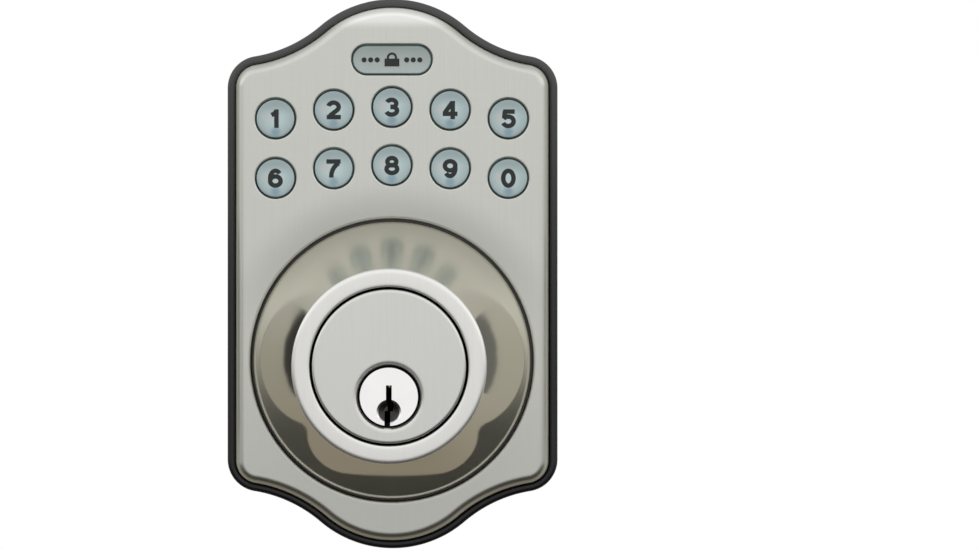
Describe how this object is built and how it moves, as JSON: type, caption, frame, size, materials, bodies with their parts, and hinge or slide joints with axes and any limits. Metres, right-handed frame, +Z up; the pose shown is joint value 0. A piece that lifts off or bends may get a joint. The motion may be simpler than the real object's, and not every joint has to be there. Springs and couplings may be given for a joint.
{
  "type": "keypad smart lock",
  "caption": "Keypad deadbolt lock: satin metal keypad plate with flared cylinder collar outside, motor unit with thumb-turn and battery bay inside, joined through the door.",
  "frame": {"origin": "on the axis of the door's cross bore, in the plane of the door's outer face, where the lock's gasket seats", "axes": "+X right seen from outside, +Y from the outside unit through the door to the inside unit, +Z up"},
  "size_m": [0.079, 0.1413, 0.1314],
  "materials": {
    "satin_nickel": "satin nickel, fine vertical brushing",
    "polished_nickel": "polished nickel, turned",
    "plug_nickel": "polished nickel silver",
    "black_plastic": "fine moulded texture",
    "black_rubber": "soft rubber sheet",
    "key_plastic": "translucent pale blue-grey",
    "lens_plastic": "smoked translucent window",
    "silicone": "translucent silicone",
    "board": "green solder mask",
    "parts": "moulded epoxy",
    "light": "clear resin",
    "radio": "blue board with a tin can",
    "connector": "ivory nylon",
    "gear_nylon": "acetal",
    "brass": "drawn brass",
    "steel": "zinc-plated steel",
    "wire": "black cable sheath",
    "cell_wrap": "printed film wrap"
  },
  "bodies": {
    "lock_body": {"front_plate": "satin_nickel", "cylinder_body": "satin_nickel", "inside_cover": "satin_nickel", "base_housing": "black_plastic", "chassis": "black_plastic", "battery_tray": "black_plastic", "collar_seal": "black_plastic", "turn_sensor": "black_plastic", "door_gasket": "black_rubber", "indicator_lens": "lens_plastic", "keypad_mat": "silicone", "keypad_board": "board", "control_board": "board", "board_parts": "parts", "status_light": "light", "key_lights": "light", "radio_module": "radio", "outside_connector": "connector", "inside_connector": "connector", "spindle_bush": "connector", "spring_cover": "brass", "support_ring": "steel", "mount_plate": "steel", "through_bolts": "steel", "mount_screws": "steel", "plate_screws": "steel", "board_screws": "steel", "cover_screws": "steel", "driver_pins": "steel", "pin_springs": "steel", "gear_axle": "steel", "motor": "steel", "motor_bracket": "steel", "battery_contacts": "steel", "cable": "wire", "battery_cells": "cell_wrap"},
    "collar": {"collar_flare": "polished_nickel", "collar_ring": "satin_nickel", "collar_lip": "satin_nickel"},
    "plug": {"plug": "plug_nickel", "plug_tail": "plug_nickel", "plug_clip": "steel", "key_pins": "brass"},
    "spindle": {"torque_blade": "steel", "spindle_gear": "gear_nylon", "thumb_turn": "satin_nickel", "thumb_screw": "steel"},
    "reduction": {"reduction_gear": "gear_nylon"},
    "pinion": {"motor_pinion": "brass"},
    "battery_door": {"battery_door": "satin_nickel"},
    "key_1": {"key_1": "key_plastic"},
    "key_2": {"key_2": "key_plastic"},
    "key_3": {"key_3": "key_plastic"},
    "key_4": {"key_4": "key_plastic"},
    "key_5": {"key_5": "key_plastic"},
    "key_6": {"key_6": "key_plastic"},
    "key_7": {"key_7": "key_plastic"},
    "key_8": {"key_8": "key_plastic"},
    "key_9": {"key_9": "key_plastic"},
    "key_0": {"key_0": "key_plastic"}
  },
  "joints": [
    {"name": "collar_spin", "type": "hinge", "parent": "lock_body", "child": "collar", "pos_m": [0, -0.03, 0], "axis": [0, 1, 0], "continuous": true},
    {"name": "plug_turn", "type": "hinge", "parent": "lock_body", "child": "plug", "pos_m": [0, -0.03, -0.0068], "axis": [0, 1, 0], "range_deg": [-90, 90]},
    {"name": "spindle_turn", "type": "hinge", "parent": "lock_body", "child": "spindle", "pos_m": [0, 0.055, -0.0068], "axis": [0, 1, 0], "range_deg": [0, 90]},
    {"name": "reduction_turn", "type": "hinge", "parent": "lock_body", "child": "reduction", "pos_m": [-0.01579, 0.055, -0.01786], "axis": [0, 1, 0], "range_deg": [-275, 5]},
    {"name": "motor_turn", "type": "hinge", "parent": "lock_body", "child": "pinion", "pos_m": [-0.00494, 0.057, -0.03079], "axis": [0, 1, 0], "range_deg": [-10, 685]},
    {"name": "battery_door_slide", "type": "slide", "parent": "lock_body", "child": "battery_door", "axis": [0, 0, 1], "range_m": [0, 0.075]},
    {"name": "key_1_press", "type": "slide", "parent": "lock_body", "child": "key_1", "axis": [0, 1, 0], "range_m": [0, 0.001], "stiffness_N_per_m": 1500, "springref_m": -0.0003, "deforming": ["keypad_mat"]},
    {"name": "key_2_press", "type": "slide", "parent": "lock_body", "child": "key_2", "axis": [0, 1, 0], "range_m": [0, 0.001], "stiffness_N_per_m": 1500, "springref_m": -0.0003, "deforming": ["keypad_mat"]},
    {"name": "key_3_press", "type": "slide", "parent": "lock_body", "child": "key_3", "axis": [0, 1, 0], "range_m": [0, 0.001], "stiffness_N_per_m": 1500, "springref_m": -0.0003, "deforming": ["keypad_mat"]},
    {"name": "key_4_press", "type": "slide", "parent": "lock_body", "child": "key_4", "axis": [0, 1, 0], "range_m": [0, 0.001], "stiffness_N_per_m": 1500, "springref_m": -0.0003, "deforming": ["keypad_mat"]},
    {"name": "key_5_press", "type": "slide", "parent": "lock_body", "child": "key_5", "axis": [0, 1, 0], "range_m": [0, 0.001], "stiffness_N_per_m": 1500, "springref_m": -0.0003, "deforming": ["keypad_mat"]},
    {"name": "key_6_press", "type": "slide", "parent": "lock_body", "child": "key_6", "axis": [0, 1, 0], "range_m": [0, 0.001], "stiffness_N_per_m": 1500, "springref_m": -0.0003, "deforming": ["keypad_mat"]},
    {"name": "key_7_press", "type": "slide", "parent": "lock_body", "child": "key_7", "axis": [0, 1, 0], "range_m": [0, 0.001], "stiffness_N_per_m": 1500, "springref_m": -0.0003, "deforming": ["keypad_mat"]},
    {"name": "key_8_press", "type": "slide", "parent": "lock_body", "child": "key_8", "axis": [0, 1, 0], "range_m": [0, 0.001], "stiffness_N_per_m": 1500, "springref_m": -0.0003, "deforming": ["keypad_mat"]},
    {"name": "key_9_press", "type": "slide", "parent": "lock_body", "child": "key_9", "axis": [0, 1, 0], "range_m": [0, 0.001], "stiffness_N_per_m": 1500, "springref_m": -0.0003, "deforming": ["keypad_mat"]},
    {"name": "key_0_press", "type": "slide", "parent": "lock_body", "child": "key_0", "axis": [0, 1, 0], "range_m": [0, 0.001], "stiffness_N_per_m": 1500, "springref_m": -0.0003, "deforming": ["keypad_mat"]}
  ],
  "couplings": [
    {"joint": "reduction_turn", "follows": "spindle_turn", "ratio": -3},
    {"joint": "motor_turn", "follows": "spindle_turn", "ratio": 7.5}
  ]
}
